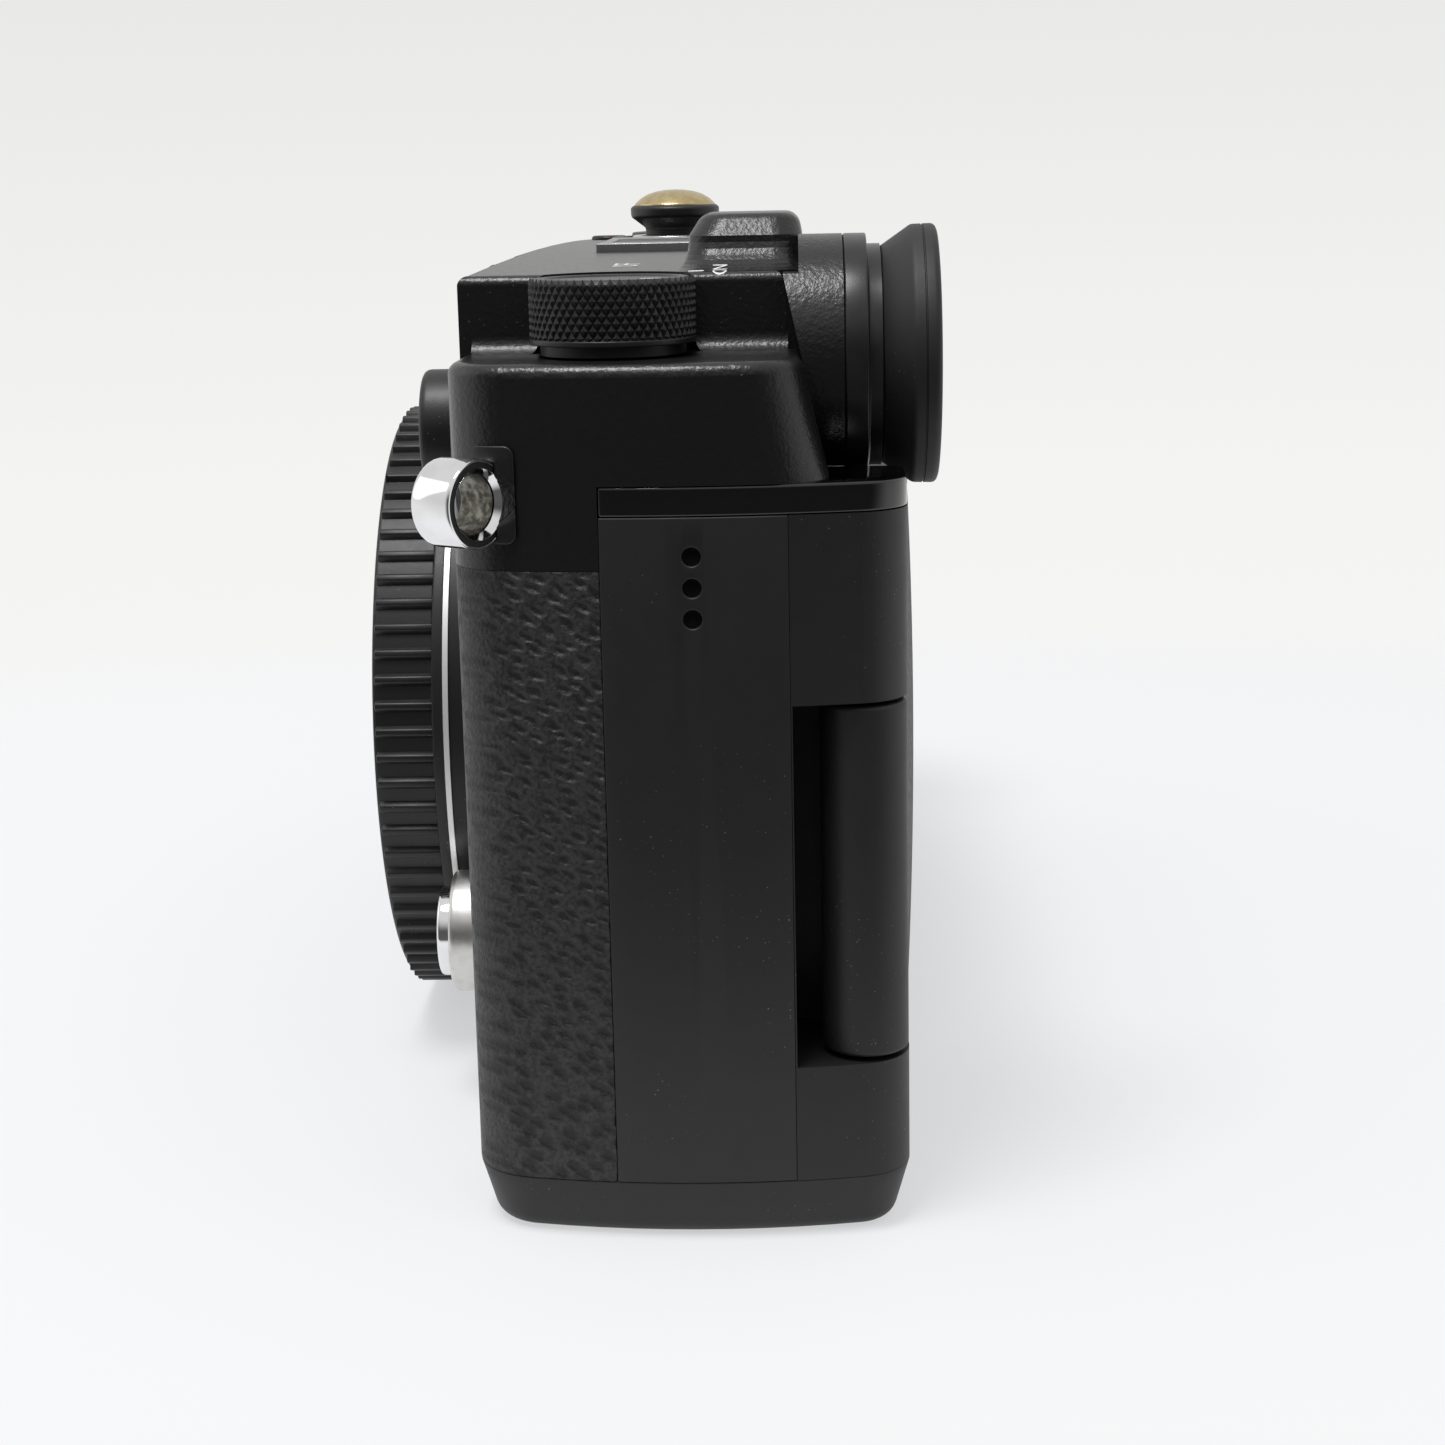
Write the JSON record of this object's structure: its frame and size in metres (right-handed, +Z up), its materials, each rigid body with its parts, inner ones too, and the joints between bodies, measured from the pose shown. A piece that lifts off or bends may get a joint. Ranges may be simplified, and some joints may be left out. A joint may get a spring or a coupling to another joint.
{
  "type": "mirrorless camera",
  "caption": "Slim mirrorless camera body with body cap, side-hinged monitor, round finder eyecup, top dials, hot shoe and strap lugs.",
  "frame": {"origin": "mouth of the tripod socket, in the plane of the base, under the optical axis", "axes": "+Z up, -Y out of the lens mount, +Y out of the monitor side, +X towards the finder end"},
  "size_m": [0.1299, 0.0469, 0.0735],
  "materials": {
    "cast_black": "crinkled satin black paint on a light alloy casting",
    "panel_charcoal": "smooth matte charcoal",
    "leather": "black cross-hatched leatherette",
    "gloss_black": "polished piano black",
    "rubber_black": "matte black rubber",
    "plastic_black": "fine matte black plastic",
    "anodised_black": "black anodised, machined",
    "anodised_dark": "dark semi-gloss anodised",
    "satin_silver": "satin silver, turned",
    "bright_chrome": "polished chrome",
    "mount_steel": "fine turned stainless",
    "brass_dome": "polished brass with a dark rim",
    "screw_steel": "plated screws",
    "lens_glass": "coated glass",
    "screen_glass": "dark screen behind glass",
    "inner_plastic": "moulded inner part",
    "board_green": "lacquered circuit board",
    "battery_grey": "smooth dark grey pack"
  },
  "bodies": {
    "body": {"base_plate": "cast_black", "front_cover": "cast_black", "grip_skins": "leather", "rear_cover": "panel_charcoal", "side_panel": "panel_charcoal", "gloss_strip": "gloss_black", "top_cover": "cast_black", "finder_barrel": "anodised_dark", "eyepiece_lens": "lens_glass", "eyecup": "rubber_black", "mount_base": "anodised_dark", "mount_ring": "mount_steel", "mount_screws": "screw_steel", "lens_contacts": "inner_plastic", "chassis": "anodised_black", "shutter_unit": "inner_plastic", "sensor_unit": "inner_plastic", "main_board": "board_green", "battery": "battery_grey", "memory_card": "inner_plastic", "tripod_socket": "satin_silver", "case_screws": "screw_steel", "hot_shoe": "mount_steel", "strap_lugs": "bright_chrome", "lug_plates": "plastic_black", "release_collar": "satin_silver", "sync_socket": "satin_silver", "thumb_rest": "rubber_black"},
    "power_knob": {"power_knob": "anodised_black"},
    "mode_dial": {"mode_dial": "anodised_black"},
    "mode_lock": {"mode_lock": "anodised_dark"},
    "ev_dial": {"ev_dial": "anodised_black"},
    "front_dial": {"front_dial": "anodised_black"},
    "movie_button": {"movie_button": "plastic_black"},
    "rear_dial": {"rear_dial": "anodised_black"},
    "profile_lever": {"profile_lever": "anodised_dark"},
    "creative_dial": {"creative_dial": "anodised_black"},
    "preview_button": {"preview_button": "plastic_black"},
    "release_button": {"release_button": "bright_chrome"},
    "body_cap": {"body_cap": "plastic_black"},
    "sync_cap": {"sync_cap": "plastic_black"},
    "view_button": {"view_button": "plastic_black"},
    "diopter_dial": {"diopter_dial": "plastic_black"},
    "arrow_pad": {"arrow_pad": "anodised_dark"},
    "ok_button": {"ok_button": "plastic_black"},
    "hinge_arm": {"hinge_arm": "anodised_dark"},
    "battery_door": {"battery_door": "panel_charcoal"},
    "door_latch": {"door_latch": "plastic_black"},
    "port_cover": {"port_cover": "rubber_black"},
    "shoe_cover": {"shoe_cover": "plastic_black"},
    "fn_button": {"fn_button": "plastic_black"},
    "magnify_button": {"magnify_button": "plastic_black"},
    "menu_button": {"menu_button": "plastic_black"},
    "info_button": {"info_button": "plastic_black"},
    "erase_button": {"erase_button": "plastic_black"},
    "play_button": {"play_button": "plastic_black"},
    "shutter": {"shutter_button": "satin_silver", "soft_release": "brass_dome"},
    "monitor": {"monitor_case": "panel_charcoal", "monitor_glass": "screen_glass"}
  },
  "joints": [
    {"name": "power_turn", "type": "hinge", "parent": "body", "child": "power_knob", "pos_m": [0.052, -0.0037, 0.0654], "axis": [0, 0, 1], "range_deg": [0, 60]},
    {"name": "mode_turn", "type": "hinge", "parent": "body", "child": "mode_dial", "pos_m": [-0.022, 0.0001, 0.0664], "axis": [0, 0, 1], "continuous": true},
    {"name": "mode_lock_press", "type": "slide", "parent": "mode_dial", "child": "mode_lock", "axis": [0, 0, -1], "range_m": [0, 0.0006], "stiffness_N_per_m": 400},
    {"name": "ev_turn", "type": "hinge", "parent": "body", "child": "ev_dial", "pos_m": [-0.054, -0.0026, 0.0664], "axis": [0, 0, 1], "range_deg": [-135, 135]},
    {"name": "front_dial_turn", "type": "hinge", "parent": "body", "child": "front_dial", "pos_m": [-0.0384, -0.0036, 0.0664], "axis": [0, 0, 1], "continuous": true},
    {"name": "shutter_press", "type": "slide", "parent": "body", "child": "shutter", "axis": [0, 0, -1], "range_m": [0, 0.001], "stiffness_N_per_m": 400},
    {"name": "movie_press", "type": "slide", "parent": "body", "child": "movie_button", "axis": [0, 0, -1], "range_m": [0, 0.0005], "stiffness_N_per_m": 400},
    {"name": "rear_dial_turn", "type": "hinge", "parent": "body", "child": "rear_dial", "pos_m": [-0.05, 0.0113, 0.0583], "axis": [0, 0, 1], "continuous": true},
    {"name": "profile_lever_turn", "type": "hinge", "parent": "body", "child": "profile_lever", "pos_m": [-0.05, 0.0113, 0.0553], "axis": [0, 0, 1], "range_deg": [-12, 12], "stiffness_Nm_per_rad": 0.02},
    {"name": "creative_turn", "type": "hinge", "parent": "body", "child": "creative_dial", "pos_m": [-0.04, -0.018, 0.0572], "axis": [0, 1, 0], "range_deg": [-72, 72]},
    {"name": "preview_press", "type": "slide", "parent": "body", "child": "preview_button", "axis": [0, 1, 0], "range_m": [0, 0.0008], "stiffness_N_per_m": 400},
    {"name": "release_press", "type": "slide", "parent": "body", "child": "release_button", "axis": [0, 1, 0], "range_m": [0, 0.0015], "stiffness_N_per_m": 400},
    {"name": "cap_off", "type": "slide", "parent": "body", "child": "body_cap", "axis": [0, -1, 0], "range_m": [0, 0.025]},
    {"name": "sync_cap_off", "type": "slide", "parent": "body", "child": "sync_cap", "axis": [0, -1, 0], "range_m": [0, 0.01]},
    {"name": "view_press", "type": "slide", "parent": "body", "child": "view_button", "axis": [0, -1, 0], "range_m": [0, 0.0005], "stiffness_N_per_m": 400},
    {"name": "diopter_turn", "type": "hinge", "parent": "body", "child": "diopter_dial", "pos_m": [0.0336, 0.0117, 0.06], "axis": [0, 1, 0], "range_deg": [-150, 150]},
    {"name": "fn_press", "type": "slide", "parent": "body", "child": "fn_button", "axis": [0, -1, 0], "range_m": [0, 0.0005], "stiffness_N_per_m": 400},
    {"name": "magnify_press", "type": "slide", "parent": "body", "child": "magnify_button", "axis": [0, -1, 0], "range_m": [0, 0.0005], "stiffness_N_per_m": 400},
    {"name": "menu_press", "type": "slide", "parent": "body", "child": "menu_button", "axis": [0, -1, 0], "range_m": [0, 0.0005], "stiffness_N_per_m": 400},
    {"name": "info_press", "type": "slide", "parent": "body", "child": "info_button", "axis": [0, -1, 0], "range_m": [0, 0.0005], "stiffness_N_per_m": 400},
    {"name": "erase_press", "type": "slide", "parent": "body", "child": "erase_button", "axis": [0, -1, 0], "range_m": [0, 0.0005], "stiffness_N_per_m": 400},
    {"name": "play_press", "type": "slide", "parent": "body", "child": "play_button", "axis": [0, -1, 0], "range_m": [0, 0.0005], "stiffness_N_per_m": 400},
    {"name": "pad_rock", "type": "hinge", "parent": "body", "child": "arrow_pad", "pos_m": [-0.043, 0.014, 0.023], "axis": [1, 0, 0], "range_deg": [-3, 3], "stiffness_Nm_per_rad": 0.5},
    {"name": "ok_press", "type": "slide", "parent": "body", "child": "ok_button", "axis": [0, -1, 0], "range_m": [0, 0.0005], "stiffness_N_per_m": 400},
    {"name": "monitor_swing", "type": "hinge", "parent": "body", "child": "hinge_arm", "pos_m": [0.0564, 0.01345, 0.0261], "axis": [0, 0, -1], "range_deg": [0, 180]},
    {"name": "monitor_tilt", "type": "hinge", "parent": "hinge_arm", "child": "monitor", "pos_m": [0.0465, 0.01345, 0.0261], "axis": [-1, 0, 0], "range_deg": [-90, 180]},
    {"name": "battery_door_open", "type": "hinge", "parent": "body", "child": "battery_door", "pos_m": [-0.0255, -0.00065, 0.00125], "axis": [0, -1, 0], "range_deg": [0, 90]},
    {"name": "door_latch_slide", "type": "slide", "parent": "battery_door", "child": "door_latch", "axis": [1, 0, 0], "range_m": [0, 0.0022]},
    {"name": "port_cover_open", "type": "hinge", "parent": "body", "child": "port_cover", "pos_m": [-0.06319, 0.00665, 0.025], "axis": [0, 0, -1], "range_deg": [0, 90]},
    {"name": "shoe_cover_off", "type": "slide", "parent": "body", "child": "shoe_cover", "axis": [0, 1, 0], "range_m": [0, 0.02]}
  ],
  "couplings": [
    {"joint": "monitor_tilt", "follows": "monitor_swing", "ratio": 0.25}
  ]
}
